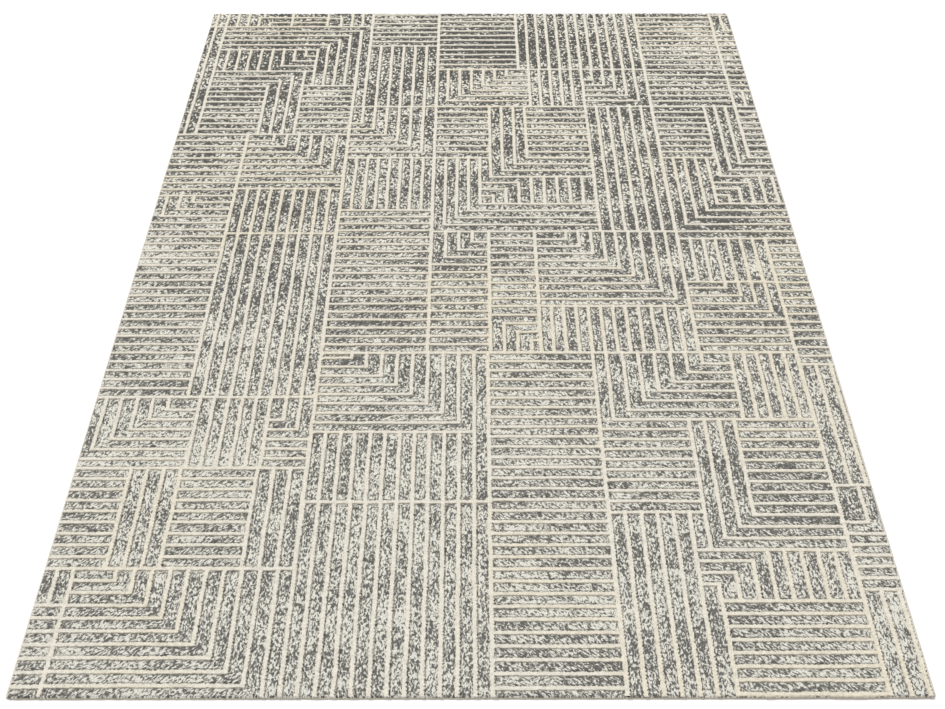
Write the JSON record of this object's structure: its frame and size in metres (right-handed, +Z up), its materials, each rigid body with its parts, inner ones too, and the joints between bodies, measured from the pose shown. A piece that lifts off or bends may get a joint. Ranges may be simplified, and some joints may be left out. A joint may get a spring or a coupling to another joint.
{
  "type": "area rug",
  "caption": "Flat rectangular low-pile area rug with a mottled ground pile and raised cream lines in stepped, nested blocks, corded long edges and taped ends.",
  "frame": {"origin": "middle of the rug's underside, on the floor", "axes": "+X across the rug to its right, +Y along its length to its far end, +Z up out of the pile"},
  "size_m": [1.524, 2.438, 0.0085],
  "materials": {
    "latex_backing": "matt latex coat over a coarse scrim",
    "woven_ground": "coarse woven ground cloth",
    "mottled_yarn": "low pile of flecked grey and taupe yarn",
    "cream_yarn": "raised soft pile of cream yarn",
    "edge_cord": "twisted cord",
    "serging_yarn": "close overlocked yarn",
    "hem_tape": "plain woven cotton tape",
    "sewing_thread": "twisted sewing thread"
  },
  "bodies": {
    "root": {"latex_backcoat": "latex_backing", "ground_weave": "woven_ground", "mottled_pile": "mottled_yarn", "cream_line_pile": "cream_yarn", "left_edge_cord": "edge_cord", "right_edge_cord": "edge_cord", "left_edge_serging": "serging_yarn", "right_edge_serging": "serging_yarn", "near_hem_tape": "hem_tape", "far_hem_tape": "hem_tape", "near_hem_stitching": "sewing_thread", "far_hem_stitching": "sewing_thread"}
  },
  "joints": []
}
